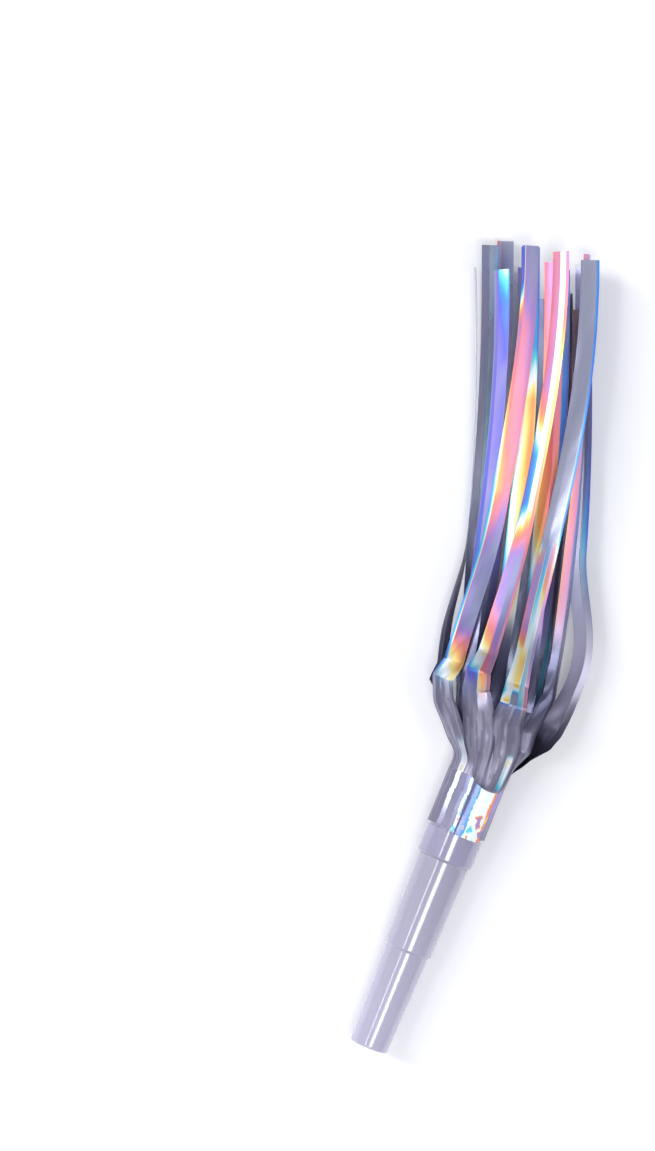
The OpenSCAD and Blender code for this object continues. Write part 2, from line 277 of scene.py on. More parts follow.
# Place in the rainbow across a strip: its slope, and how hue and painted sheen move at the rim, where the
# edges are painted bright, a change in shares of the half width
HUE_SLOPE = 0.06
RIM = (0.75, 0.25)
RIM_HUE = 0.09
RIM_SHEEN = 0.15

# How a strip's lengthwise facets look, from left to right as seen from above: where each starts across the
# strip, from -1 to 1, its tilt, and what it shows at shares of the strip's length as (share, place in the
# rainbow, amount of painted rainbow sheen and painted highlight)
LOOKS = {
    "strip_right_2": [(-1.0, 0.10, [(0, 0.20, 0.3), (0.5, 0.24, 0.5), (1, 0.20, 0.4)]),
                      (0.3, -0.20, [(0, 0.02, 0.1), (1, 0.02, 0.1)])],
    "strip_right_3": [(-1.0, 0.34, [(0, 0.04, 0.1), (0.3, 0.04, 0.1), (0.42, 0.46, 0.4), (0.55, 0.40, 0.6),
                                    (1, 0.30, 0.4)]),
                      (-0.25, -0.26, [(0, 0.03, 0.12), (0.4, 0.05, 0.16), (0.6, 0.90, 0.35),
                                      (1, 0.10, 0.2)])],
    "strip_right_4": [(-1.0, 0.10, [(0, 0.70, 0.4), (0.5, 0.76, 0.5), (1, 0.84, 0.5)]),
                      (0.2, -0.25, [(0, 0.30, 0.5), (1, 0.36, 0.7)])],
    "strip_top_1": [(-1.0, 0.10, [(0, 0.60, 0.3), (0.35, 0.62, 0.6), (1, 0.70, 0.6)]),
                    (0.2, -0.20, [(0, 0.88, 0.2), (0.5, 0.92, 0.5), (1, 0.90, 0.4)])],
    "strip_top_2": [(-1.0, 0.15, [(0, 0.30, 0.4), (0.3, 0.24, 0.7), (0.5, 0.60, 0.8), (0.7, 0.72, 0.8),
                                  (0.9, 0.85, 0.9), (1, 0.88, 0.9)]),
                    (0.4, -0.30, [(0, 0.84, 0.4), (0.6, 0.56, 0.9), (0.8, 0.70, 0.8), (1, 0.86, 0.9)])],
    "strip_top_3": [(-1.0, 0.16, [(0, 0.36, 0.4), (0.35, 0.40, 0.8), (0.5, 0.52, 1.0), (0.68, 0.50, 1.0),
                                  (0.8, 0.36, 0.9), (1, 0.33, 0.9)]),
                    (-0.2, -0.14, [(0, 0.20, 0.4), (0.35, 0.44, 0.8), (0.55, 0.47, 1.0), (0.72, 0.49, 0.9),
                                   (0.82, 0.22, 0.9), (1, 0.20, 0.9)])],
    "strip_top_4": [(-1.0, 0.25, [(0, 0.40, 0.4), (0.5, 0.36, 0.8), (0.85, 0.34, 0.9), (1, 0.28, 0.9)]),
                    (-0.3, -0.12, [(0, 0.24, 0.4), (0.4, 0.20, 0.35), (0.8, 0.24, 0.55), (0.93, 0.30, 0.9),
                                   (1, 0.46, 0.9)])],
    "strip_top_5": [(-1.0, 0.10, [(0, 0.04, 0.05), (0.14, 0.04, 0.1), (0.16, 0.53, 1.0), (0.18, 0.35, 1.0),
                                  (0.20, 0.46, 1.0), (0.26, 0.47, 1.0), (0.30, 0.80, 0.7),
                                  (0.42, 0.86, 0.6), (0.5, 0.04, 0.1), (1, 0.0, 0.05)]),
                    (-0.35, 0.0, [(0, 0.04, 0.05), (0.17, 0.04, 0.1), (0.19, 0.46, 1.0), (0.24, 0.46, 0.9),
                                  (0.28, 0.36, 0.8), (0.38, 0.30, 0.8), (0.46, 0.22, 0.5),
                                  (0.52, 0.04, 0.08), (1, 0.0, 0.05)]),
                    # Its third facet starts with a painted glint just above the collar
                    (0.15, 0.02, [(0, 0.04, 0.05), (0.015, 0.22, 1), (0.03, 0.30, 9), (0.05, 0.42, 9),
                                  (0.065, 0.2, 0.5), (0.26, 0.30, 0.5), (0.36, 0.42, 0.8),
                                  (0.44, 0.66, 0.6), (0.54, 0.04, 0.08), (1, 0.0, 0.05)]),
                    (0.66, -0.40, [(0, 0.24, 0.2), (0.3, 0.86, 0.6), (0.5, 0.16, 0.6), (1, 0.18, 0.75)])],
    "strip_top_6": [(-1.0, 0.12, [(0, 0.10, 0.1), (0.16, 0.20, 0.6), (0.22, 0.46, 0.6), (0.29, 0.74, 0.8),
                                  (0.34, 0.92, 0.8), (0.42, 0.95, 0.8), (0.48, 0.60, 0.9),
                                  (0.53, 0.36, 0.9), (0.62, 0.40, 0.9), (0.75, 0.90, 0.8), (1, 0.86, 0.9)]),
                    (0.1, -0.10, [(0, 0.30, 0.2), (0.2, 0.64, 0.8), (0.25, 0.76, 0.7), (0.31, 0.94, 0.9),
                                  (0.41, 0.98, 0.9), (0.46, 0.74, 0.9), (0.52, 0.50, 1.0), (1, 0.46, 1.0)]),
                    (0.74, -0.35, [(0, 0.60, 0.2), (0.4, 0.70, 0.6), (0.6, 0.64, 0.9), (0.8, 0.52, 0.8),
                                   (1, 0.86, 0.8)])],
    "strip_top_7": [(-1.0, 0.35, [(0, 0.36, 0.1), (0.2, 0.44, 0.8), (0.5, 0.46, 0.9), (0.85, 0.88, 0.9),
                                  (0.94, 0.28, 0.9), (1, 0.33, 0.9)]),
                    (-0.66, -0.02, [(0, 0.10, 0.1), (0.17, 0.46, 0.9), (0.22, 0.60, 0.8), (0.27, 0.92, 0.8),
                                    (0.40, 0.94, 0.8), (0.48, 0.72, 0.8), (0.54, 0.58, 1.0),
                                    (0.63, 0.67, 1.0), (0.85, 0.70, 1.0), (0.92, 0.84, 1.0),
                                    (0.97, 0.90, 0.9), (1, 0.92, 0.9)]),
                    # Its third facet starts with a painted highlight streak that runs on from the collar
                    (0.25, -0.02, [(0, 0.54, 8), (0.045, 0.52, 6), (0.06, 0.4, 0.3), (0.17, 0.44, 0.9),
                                   (0.23, 0.60, 0.8), (0.28, 0.92, 0.8), (0.40, 0.98, 0.8),
                                   (0.50, 0.72, 0.8), (0.56, 0.58, 1.0), (0.64, 0.67, 1.0),
                                   (0.85, 0.70, 1.0), (0.92, 0.84, 1.0), (0.97, 0.90, 0.9), (1, 0.92, 0.9)])],
    "strip_left_1": [(-1.0, 0.10, [(0, 0.34, 0.3), (0.5, 0.36, 0.4), (1, 0.36, 0.3)]),
                     (0.1, -0.20, [(0, 0.02, 0.1), (1, 0.02, 0.1)])],
    "strip_left_2": [(-1.0, 0.10, [(0, 0.10, 0.1), (0.5, 0.02, 0.1), (1, 0.05, 0.1)]),
                     (0.4, -0.30, [(0, 0.52, 0.3), (0.5, 0.56, 0.5), (1, 0.60, 0.4)])],
    "strip_left_4": [(-1.0, 0.06, [(0, 0.02, 0.08), (1, 0.02, 0.08)]),
                     (-0.05, -0.25, [(0, 0.50, 0.3), (0.4, 0.55, 0.6), (0.8, 0.58, 0.6), (1, 0.60, 0.3)]),
                     (0.16, -0.05, [(0, 0.02, 0.10), (1, 0.03, 0.12)])],
}

# Lengthwise pleats of the collar: their height, the fewest and most degrees between two, the rings of the
# collar at which each has its own height, and how much of them is pressed out of the flap
PLEAT_H = 0.06 * MM
PLEAT_STEP_A = (7, 17)
PLEAT_RINGS = 4
FLAP_PRESSED = 0.6
# The collar's lower edge waves this far and this often a turn, and drops within this share of the flap
EDGE_WAVE = 0.12 * MM
EDGE_WAVES = 3
EDGE_PHASE = 70
FLAP_DROP_SHARE = 0.08
# How far a streak's edge strays round the collar, in degrees
RAGGED_A = 1.4
# The painted highlight streaks fade towards the edge on the bare barrel: what is left of them there, the
# painted shade there, and the change that ends it, in shares of the collar's height
FADE_LEAST = 0.2
FADE_SHADE = 0.38
FADE_END = (0, 0.625)
# Blots of the flap's lower part: their triangles as in PLEAT_CELL, the collar's height in the same measure,
# the change that ends them, in shares of that height, and how far the raised and the sunken ones move the
# place in the rainbow, each with the change in the blots' height that brings it in
BLOT_CELL = (0.026, 0.4)
BLOT_SPAN = 0.22
BLOT_END = (1 / 3, 1 / 3)
RAISED_HUE = 0.44
RAISED = (0.35, 0.15)
SUNKEN_HUE = 0.10
SUNKEN = (0.30, 0.15)
# The loose end of the collar from its free edge inwards, painted bright as a highlight with some painted
# shade: place in the rainbow, painted sheen, painted shade
FLAP_LOOK = [(0.56, 0.9, 1.0), (0.40, 1.0, 1.0), (0.39, 1.0, 1.0), (0.39, 1.0, 1.0), (0.40, 1.0, 1.0),
             (0.42, 1.0, 1.0), (0.30, 0.50, 0.7), (0.30, 0.40, 0.5), (0.10, 0.1, 0.6), (0.44, 1.0, 1.0)]
# The streaks of the collar's outer turn, painted highlights and painted shade: from and to which angle round
# the tube, and the same three. Between them the film is plain, with painted shade
COLLAR_LOOK = [(378, 402, (0.80, 0.7, 1.0)), (104, 108, (0.04, 0.1, 0.5)), (108, 111, (0.30, 0.5, 0.6)),
               (111, 126, (0.02, 0.05, 0.27)), (126, 137, (0.54, 0.85, 0.95)),
               (151, 154, (0.30, 0.3, 0.6)), (182, 190, (0.30, 0.45, 0.7)),
               (214, 228, (0.56, 0.6, 0.8)), (250, 262, (0.36, 0.6, 0.8)), (296, 306, (0.66, 0.6, 0.8))]
COLLAR_PLAIN = (0.02, 0.05, 0.38)

# What each point of the film carries for its material: place in the rainbow, painted rainbow sheen, painted
# shade, dullness
LOOK_KEYS = ("hue", "painted_sheen", "painted_shade", "dull")
# The film without colour, glossy and dull
SLATE = (0.36, 0.40, 0.58)
DULL_SLATE = (0.54, 0.53, 0.62)
# The film's painted rainbow sheen, white where it is a painted highlight, by the place in the rainbow, which
# ends where it starts
RAINBOW = [
    (0.00, SLATE), (0.12, (0.27, 0.22, 0.60)), (0.20, (0.12, 0.14, 0.66)), (0.28, (0.06, 0.30, 0.80)),
    (0.35, (0.12, 0.70, 0.82)), (0.41, (0.75, 1.00, 1.00)), (0.46, (1.00, 1.00, 1.00)),
    (0.51, (1.00, 0.90, 0.30)), (0.57, (1.00, 0.48, 0.15)), (0.65, (0.90, 0.26, 0.24)),
    (0.73, (0.78, 0.26, 0.38)), (0.83, (0.42, 0.26, 0.64)), (0.92, (0.36, 0.33, 0.62)), (1.00, SLATE),
]
# Red, green and blue are darkened by these powers of the painted shade, blue the least
SHADE_POWERS = (1.12, 1.14, 0.94)

# The photograph's frame in pixels, where the lip's centre is in it, the tube's tilt and the scale
PHOTO_W, PHOTO_H = 655, 1151
LIP_PX = (368.5, 1046.4)
TILT = math.radians(22.0)
PX_PER_M = 5.81 / MM
# The camera's height above the tube in metres, its sensor in millimetres, and half of the floor's width
CAMERA_HEIGHT = 0.62
SENSOR = 36.0
FLOOR_HALF = 3.0


def mix(a, b, t):
    """From a to b as t goes from 0 to 1."""
    return a + (b - a) * t


def ease(t):
    """From 0 to 1 as t goes from 0 to 1, with a smooth start and end, and level beyond them."""
    u = min(1.0, max(0.0, t))
    return u * u * (3 - 2 * u)


def change(t, start, length):
    """A smooth change from 0 to 1 over a length of t."""
    return ease((t - start) / length)


def bump(t, at, half):
    """1 at a place, and smoothly down to 0 at half a width on both sides."""
    return ease(1 - abs(t - at) / half)


def unit(v):
    """The direction of a vector."""
    return v / np.linalg.norm(v)


# Materials

class Nodes:
    """Short calls for one material's nodes. A value is a number, a colour or another node's output."""

    def __init__(self, name):
        self.material = bpy.data.materials.new(name)
        self.material.use_nodes = True
        self.tree = self.material.node_tree
        self.tree.nodes.clear()
        self.shader = self.add("ShaderNodeBsdfPrincipled")
        out = self.add("ShaderNodeOutputMaterial")
        self.feed(out.inputs[0], self.shader.outputs[0])

    def add(self, kind, **settings):
        """A new node with its settings."""
        node = self.tree.nodes.new(kind)
        for key, value in settings.items():
            setattr(node, key, value)
        return node

    def feed(self, socket, value):
        """Gives a socket its value, by a link where the value is another node's output."""
        if isinstance(value, bpy.types.NodeSocket):
            self.tree.links.new(value, socket)
        else:
            socket.default_value = value

    def set(self, **values):
        """Feeds the shader's sockets, with an underline for each space in their names."""
        for key, value in values.items():
            self.feed(self.shader.inputs[key.replace("_", " ")], value)

    def math(self, operation, *values, clamp=False):
        """The result of one operation on the values."""
        node = self.add("ShaderNodeMath", operation=operation, use_clamp=clamp)
        for socket, value in zip(node.inputs, values):
            self.feed(socket, value)
        return node.outputs[0]

    def total(self, start, *terms):
        """A number plus every term, each a value and its weight."""
        for value, weight in terms:
            start = self.math("MULTIPLY_ADD", value, weight, start)
        return start

    def split(self, vector):
        """The three parts of a vector."""
        node = self.add("ShaderNodeSeparateXYZ")
        self.feed(node.inputs[0], vector)
        return node.outputs

    def place(self, stretch=1.0):
        """The place in the object's own space, in metres and times the stretch along Y."""
        node = self.add("ShaderNodeMapping")
        self.feed(node.inputs["Vector"], self.add("ShaderNodeTexCoord").outputs["Object"])
        self.feed(node.inputs["Scale"], (1, stretch, 1))
        return node.outputs[0]

    def noise(self, scale, detail, stretch=1.0):
        """Noise of a scale per metre, long along Y where the stretch is below 1."""
        node = self.add("ShaderNodeTexNoise")
        self.feed(node.inputs["Scale"], scale)
        self.feed(node.inputs["Detail"], detail)
        self.feed(node.inputs["Vector"], self.place(stretch))
        return node.outputs[0]

    def map_range(self, value, source=(0, 1), target=(0, 1), kind="LINEAR"):
        """The value moved from one range to another."""
        node = self.add("ShaderNodeMapRange", interpolation_type=kind)
        self.feed(node.inputs["Value"], value)
        for key, number in zip(("From Min", "From Max", "To Min", "To Max"), (*source, *target)):
            self.feed(node.inputs[key], number)
        return node.outputs[0]

    def ramp(self, value, stops):
        """The colour at a value, between stops of (value, colour)."""
        node = self.add("ShaderNodeValToRGB")
        elements = node.color_ramp.elements
        while len(elements) < len(stops):
            elements.new(0.5)
        for element, (at, colour) in zip(elements, stops):
            element.position = at
            element.color = (*colour, 1)
        self.feed(node.inputs[0], value)
        return node.outputs[0]

    def mix_colours(self, share, a, b, blend_type="MIX"):
        """Colour a, blended with colour b by a share."""
        node = self.add("ShaderNodeMix", data_type="RGBA", blend_type=blend_type)
        # A mix node's colour sockets come after those for numbers and vectors
        for index, value in ((0, share), (6, a), (7, b)):
            self.feed(node.inputs[index], value)
        return node.outputs[2]

    def bump(self, height, distance, strength):
        """Tilts the shader's normal by a height."""
        node = self.add("ShaderNodeBump")
        self.feed(node.inputs["Strength"], strength)
        self.feed(node.inputs["Distance"], distance)
        self.feed(node.inputs["Height"], height)
        self.set(Normal=node.outputs[0])


def frosted_plastic(name, colour, rough, speckle, fade=1.0):
    """Milky moulded plastic: light passes a little, fine frosting breaks the gloss.

    Speckle is the depth of the frosting. A fade below 1 paints shade on the plastic towards the seam, where
    the reed base fills the passage and less light comes through.
    """
    nodes = Nodes(name)
    nodes.set(Base_Color=(*colour, 1), IOR=1.5, Transmission_Weight=0.12, Subsurface_Weight=0.3,
              Subsurface_Radius=(1.0, 0.9, 1.0), Subsurface_Scale=1.2 * MM, Coat_Weight=1.0,
              Coat_Roughness=0.05)
    if fade < 1:
        _, along, _ = nodes.split(nodes.place())
        to_seam = nodes.map_range(along, source=(0.3 * STEP_AT, 0.95 * MOUTH_L))
        nodes.set(Base_Color=nodes.ramp(to_seam, [(0, colour), (1, [c * fade for c in colour])]))
    cloud = nodes.noise(scale=420, detail=4, stretch=0.35)
    nodes.set(Roughness=nodes.map_range(cloud, target=(rough - 0.04, rough + 0.06)))
    nodes.bump(nodes.noise(scale=5200, detail=2), distance=speckle, strength=0.5)
    return nodes.material


def holographic_film(name):
    """Metallised film: a slate mirror, with the rainbow that its ruled surface splits from bright light
    painted into its colour.

    Each vertex carries its place in the rainbow (hue), how much painted rainbow sheen and painted highlight
    shows (painted_sheen), its painted shade, darker deep in the crumpled film (painted_shade), and how far
    its gloss is lost by creasing (dull). The world tilt of the surface and noises that are long along the
    strips move them a little.
    """
    nodes = Nodes(name)
    hue, painted_sheen, painted_shade, dull = (nodes.add("ShaderNodeAttribute", attribute_name=key).outputs["Fac"]
                              for key in LOOK_KEYS)
    tilt, nod, _ = nodes.split(nodes.add("ShaderNodeNewGeometry").outputs["Normal"])
    wander = nodes.noise(scale=55, detail=2, stretch=0.2)
    streak = nodes.noise(scale=240, detail=3, stretch=0.05)
    patch = nodes.noise(scale=70, detail=2, stretch=0.35)
    # The noises are a half on average, and the two starts take that off again
    phase = nodes.total(-0.20, (hue, 1), (wander, 0.24), (streak, 0.16), (tilt, 0.10), (nod, 0.12))
    amount = nodes.total(-0.70, (painted_sheen, 1), (streak, 0.5), (patch, 0.9))
    show = nodes.map_range(amount, source=(0.25, 0.75), kind="SMOOTHSTEP")
    slate = nodes.ramp(dull, [(0, SLATE), (1, DULL_SLATE)])
    colour = nodes.mix_colours(show, slate, nodes.ramp(nodes.math("FRACT", phase), RAINBOW))
    # Painted shade: fine lines along the film, standing for its creases, and each point's painted shade
    # darken it
    light = nodes.math("MULTIPLY", painted_shade, nodes.total(0.72, (streak, 0.5)), clamp=True)
    grey = nodes.add("ShaderNodeCombineXYZ")
    for socket, power in zip(grey.inputs, SHADE_POWERS):
        nodes.feed(socket, nodes.math("POWER", light, power))
    nodes.set(Base_Color=nodes.mix_colours(1.0, colour, grey.outputs[0], "MULTIPLY"),
              Metallic=nodes.total(0.68, (show, -0.28), (dull, -0.16)),
              Roughness=nodes.total(0.20, (show, 0.16), (dull, 0.18)))
    nodes.bump(nodes.noise(scale=900, detail=3, stretch=0.12), distance=0.012 * MM, strength=0.6)
    return nodes.material


def plain_plastic(name, colour, rough):
    """Smooth plastic or glue with a faint cloud in its colour."""
    nodes = Nodes(name)
    tint = nodes.ramp(nodes.noise(scale=300, detail=3), [(0.3, [c * 0.94 for c in colour]), (0.7, colour)])
    nodes.set(Base_Color=tint, Roughness=rough, IOR=1.49)
    nodes.bump(nodes.noise(scale=2600, detail=2), distance=0.006 * MM, strength=0.4)
    return nodes.material


def floor_material():
    nodes = Nodes("floor_paper")
    nodes.set(Base_Color=(0.95, 0.95, 0.96, 1), Roughness=0.85)
    nodes.bump(nodes.noise(scale=900, detail=3), distance=0.02 * MM, strength=0.2)
    return nodes.material


# Meshes

def new_object(name, verts, faces, material, sharp=PLAIN_SHARP, attributes=None):
    """A smooth mesh with creases at sharp edges; attributes give each vertex a number."""
    mesh = bpy.data.meshes.new(name)
    mesh.from_pydata([tuple(v) for v in verts], [], faces)
    mesh.validate()
    for key, values in (attributes or {}).items():
        layer = mesh.attributes.new(key, "FLOAT", "POINT")
        layer.data.foreach_set("value", values)
    mesh.polygons.foreach_set("use_smooth", [True] * len(mesh.polygons))
    mesh.set_sharp_from_angle(angle=math.radians(sharp))
    mesh.materials.append(material)
    obj = bpy.data.objects.new(name, mesh)
    bpy.context.scene.collection.objects.link(obj)
    return obj


def lathe(name, profile, material):
    """Closed ring profile of (radius, distance along Y) turned round the Y axis."""
    count = len(profile)
    verts = []
    for i in range(TURN_STEPS):
        a = 2 * math.pi * i / TURN_STEPS
        verts += [(r * math.cos(a), y, r * math.sin(a)) for r, y in profile]
    faces = []
    for i in range(TURN_STEPS):
        this, following = i * count, (i + 1) % TURN_STEPS * count
        for j in range(count):
            k = (j + 1) % count
            faces.append((this + j, this + k, following + k, following + j))
    return new_object(name, verts, faces, material)


def rounded(points):
    """A closed profile of (radius, distance along Y, radius of the corner) with its corners rounded.

    A point just beyond each end of a corner keeps the straight stretches' shading straight.
    """
    out = []
    corners = [np.array(p[:2]) for p in points]
    for i, (corner, (_, _, corner_r)) in enumerate(zip(corners, points)):
        before = corners[i - 1] - corner
        after = corners[(i + 1) % len(points)] - corner
        side = min(np.linalg.norm(before), np.linalg.norm(after))
        reach = min(corner_r, side * CORNER_MOST_SHARE)
        a, b = corner + unit(before) * reach, corner + unit(after) * reach
        out.append(tuple(corner + unit(before) * reach * CORNER_BEYOND))
        for k in range(CORNER_STEPS + 1):
            t = k / CORNER_STEPS
            out.append(tuple((1 - t) ** 2 * a + 2 * t * (1 - t) * corner + t * t * b))
        out.append(tuple(corner + unit(after) * reach * CORNER_BEYOND))
    return out


def film_sheet(name, grid, looks, material):
    """A grid of points made into a closed sheet of film, with the looks of each point in LOOK_KEYS' order."""
    rows, cols, _ = grid.shape
    normal = np.cross(np.gradient(grid, axis=0), np.gradient(grid, axis=1))
    normal /= np.linalg.norm(normal, axis=2, keepdims=True)
    half = normal * SHEET_T / 2
    verts = np.concatenate([(grid + half).reshape(-1, 3), (grid - half).reshape(-1, 3)])
    lower = rows * cols
    faces = []
    for i in range(rows - 1):
        for j in range(cols - 1):
            a, b, c, d = i * cols + j, i * cols + j + 1, (i + 1) * cols + j + 1, (i + 1) * cols + j
            faces.append((a, d, c, b))
            faces.append((lower + a, lower + b, lower + c, lower + d))
    # Once round the edge of the sheet
    edge = list(range(cols))
    edge += [i * cols + cols - 1 for i in range(1, rows)]
    edge += [(rows - 1) * cols + j for j in range(cols - 2, -1, -1)]
    edge += [i * cols for i in range(rows - 2, 0, -1)]
    for a, b in zip(edge, edge[1:] + edge[:1]):
        faces.append((a, b, lower + b, lower + a))
    values = {key: np.tile(looks[:, :, k].reshape(-1), 2) for k, key in enumerate(LOOK_KEYS)}
    return new_object(name, verts, faces, material, FILM_SHARP, values)


# Tube

def build_mouthpiece(material):
    """Outside from the blow hole over the lip and the step to the spigot, and back along the passage."""
    step_low, step_high = STEP_LOW_D / 2, STEP_LOW_D / 2 + STEP_H
    profile = rounded([
        (BLOW_D / 2, 0, 1.2 * CORNER_R), (LIP_D / 2, 0, LIP_ROUND),
        (step_low, STEP_AT, CORNER_R), (step_high, STEP_AT + STEP_H, 1.2 * CORNER_R),
        (SEAM_D / 2, MOUTH_L, 1.5 * CORNER_R), (SPIGOT_D / 2, MOUTH_L, 0.2 * CORNER_R),
        (SPIGOT_D / 2, MOUTH_L + SPIGOT_L, 2 * CORNER_R), (SOCKET_D / 2, MOUTH_L + SPIGOT_L, CORNER_R),
        (SOCKET_D / 2, PLUG_AT, 0.2 * CORNER_R), (SOCKET_D / 2 - SHOULDER_W, PLUG_AT, 0.2 * CORNER_R),
        (step_high - PASSAGE_WALL, STEP_AT, 5 * CORNER_R), (BLOW_D / 2, BLOW_L, 5 * CORNER_R),
    ])
    piece = lathe("mouthpiece_shell", profile, material)
    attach(piece, "tube")
    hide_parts("mouthpiece")


def build_barrel(material):
    """Outside from the seam over the film's seat to the rim, and back along the bore."""
    r, c = BARREL_D / 2, BARREL_CHAMFER
    profile = rounded([
        (BORE_D / 2, MOUTH_L, 0.5 * CORNER_R), (r - c, MOUTH_L, CORNER_R), (r, MOUTH_L + c, 1.5 * CORNER_R),
        (r, SEAT_AT, 0.3 * CORNER_R), (SEAT_R, SEAT_AT, 0.3 * CORNER_R), (SEAT_R, RIM_Y - c, CORNER_R),
        (SEAT_R - c, RIM_Y, CORNER_R), (BORE_D / 2, RIM_Y, CORNER_R),
    ])
    piece = lathe("barrel_tube", profile, material)
    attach(piece, "tube")
    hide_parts("barrel")


# Path of the film, as in its construction. Along a strip t goes from 0 at the collar to 1 at the tip

def wrinkle(a):
    """Height of the collar's wrinkles at an angle round the tube."""
    waves = sum(h * math.sin(math.radians(n * a + phase)) for h, n, phase in WRINKLES)
    return WRINKLE_D * (WRINKLE_BASE_SHARE + waves)


def wind_radius(wound, a):
    return WIND_R + wrinkle(a) + WIND_PITCH * wound / 360


def wound_point(wound, y, offset=0.0):
    """Middle of the film after wound degrees of winding."""
    a = FILM_END_ANGLE + TOTAL_A - wound
    r = wind_radius(wound, a) + FILM_T / 2 + offset
    return np.array([r * math.cos(math.radians(a)), y, r * math.sin(math.radians(a))])


def slot_angle(row):
    """Angle round the tube at which a strip leaves the collar."""
    return FILM_END_ANGLE + (row.slot + 0.5) * SLOT_TURN


def root_wound(row):
    """Degrees of winding at which a strip leaves the collar."""
    return (TOTAL_A - (row.slot + 0.5) * SLOT_TURN) % 360 + 360 * row.layer


def opened(row, t):
    """How far a strip has spread from the collar's radius, from 0 to 1."""
    return max(0, min(1, (t * ALONG - START_SHARE) / (row.open_step - START_SHARE)))


def strip_angle(row, t):
    """Angle round the tube of a strip's middle."""
    drift = row.drift * ease(t / DRIFT_SHARE) + row.tip_drift * change(t, TIP_SHARE, 1 - TIP_SHARE)
    return slot_angle(row) + row.layer * opened(row, t) * SLOT_TURN / 2 + 360 * drift


def strip_centre(row, t):
    """Middle of a strip's film."""
    angle = math.radians(strip_angle(row, t))
    open_by = opened(row, t)
    root_r = wind_radius(root_wound(row), slot_angle(row)) + FILM_T / 2
    upper = 1 if math.sin(angle) > 0 else 0
    top_h = SPREAD_H * (1 + row.lift * ease(t)) + row.layer * LAYER_GAP
    low_h = OUTER_R - (1 - row.layer) * LAYER_GAP / 2 - 2 * FILM_T
    high = mix(root_r, top_h if upper else low_h, open_by)
    wide = mix(root_r, SPREAD_W + row.layer * LAYER_GAP, open_by) - t * SPREAD_W * NARROW_SHARE
    bulge = row.bulge * SPREAD_W * bump(t, row.bulge_at, BULGE_SHARE)
    fold = row.fold * STRIP_W * max(0, 1 - abs(t * ALONG - row.fold_step))
    puff = PUFF_H * bump(t, PUFF_SHARE, PUFF_SHARE) * upper
    return np.array([
        (wide + bulge + fold) * math.cos(angle) - SWEEP_W * max(t, 0) ** SWEEP_POWER,
        RIM_Y + BEND_GAP + STRIP_L * row.length * t,
        (high + puff + (bulge + fold) * upper) * math.sin(angle),
    ])


def strip_across(row, t):
    """Direction across a strip, square to Y, with the strip's twist."""
    angle = math.radians(strip_angle(row, t))
    wide = mix(1, SPREAD_W / SPREAD_H, opened(row, t))
    base = math.atan2(math.cos(angle), -wide * math.sin(angle))
    turn = base + 2 * math.pi * row.twist * ease((t - row.twist_at) / row.twist_l + 0.5)
    return np.array([math.cos(turn), 0, math.sin(turn)])


def strip_width(row, t):
    return STRIP_W * (1 + row.skirt_gain * bump(t, SKIRT_SHARE, SKIRT_SHARE))


def strip_axes(row, t):
    """Middle of a strip's film, and the directions across it and out of it."""
    # The direction along it goes by two points this much before and behind
    step = 0.004
    centre = strip_centre(row, t)
    ahead = unit(strip_centre(row, t + step) - strip_centre(row, t - step))
    flat = strip_across(row, t)
    side = unit(flat - flat.dot(ahead) * ahead)
    return centre, side, np.cross(ahead, side)


# Folds of the film. Across a strip u goes from -1 to 1

def facet_of(facets, u):
    """Number of the facet that a place across the strip lies on."""
    return max(i for i, (start, _, _) in enumerate(facets) if u >= start or i == 0)


def facet_rise(facets, u):
    """Height of a creased cross-section whose facets have their own tilts, level on average."""
    edges = [start for start, _, _ in facets[1:]] + [1.0]

    def walk(v):
        """Height at v, from 0 at the left edge."""
        rise, start = 0.0, -1.0
        for (_, tilt, _), edge in zip(facets, edges):
            rise += tilt * max(0.0, min(v, edge) - start)
            start = edge
        return rise

    samples = [walk(v) for v in np.linspace(-1, 1, 9)]
    return walk(u) - sum(samples) / len(samples)


def crumple(rng, along, across):
    """A random field of flat triangles, for film that was crushed: height and painted facet shade from -1 to
    1 at (t, u).

    Along and across are the triangles' shares of the strip's length and of its half width. The height
    is the surface's own, and the painted facet shade is one value for each triangle, lightening some and
    darkening others. The field reaches past the tip.
    """
    rows, columns = int(1.5 / along) + 3, int(2 / across) + 3
    heights = [[rng.uniform(-1, 1) for _ in range(columns)] for _ in range(rows)]
    shift = rng.uniform(0, 1)

    def cell(t, u):
        """Heights at the corners of the cell of two triangles round (t, u), and the place in the cell."""
        a, b = t / along + shift, (u + 1) / across + shift
        i, j = int(a), int(b)
        return (heights[i][j], heights[i + 1][j], heights[i][j + 1], heights[i + 1][j + 1]), a - i, b - j

    def height(t, u):
        (near, ahead, beside, far), a, b = cell(t, u)
        if a + b < 1:
            return near * (1 - a - b) + ahead * a + beside * b
        return far * (a + b - 1) + beside * (1 - a) + ahead * (1 - b)

    def facet_shade(t, u):
        (near, ahead, beside, far), a, b = cell(t, u)
        return (near - far if a + b < 1 else ahead - beside) / 2

    return height, facet_shade


def lobe(row, t, u):
    """How far the film folds back over the collar's edge, and out, at the root of the upper right strips."""
    if (row.slot, row.layer) not in LOBE_STRIPS:
        return 0.0, 0.0
    theta = (slot_angle(row) + u * STRIP_HALF_A) % 360
    weight = max(0.0, 1 - ((theta - LOBE_AT) / LOBE_HALF) ** 2) ** 0.5
    s = t * STRIP_L * row.length / LOBE_L
    back = LOBE_BACK * weight * (math.sin(math.pi * s) * (1 - s) if s < 1 else 0)
    return back, LOBE_OUT * weight * change(s, *LOBE_START) * (1 - change(s, *LOBE_END))


def skirt_at(t):
    """How much the film at t belongs to the skirt, from 0 to 1."""
    return 1 - change(t, *SKIRT_END)


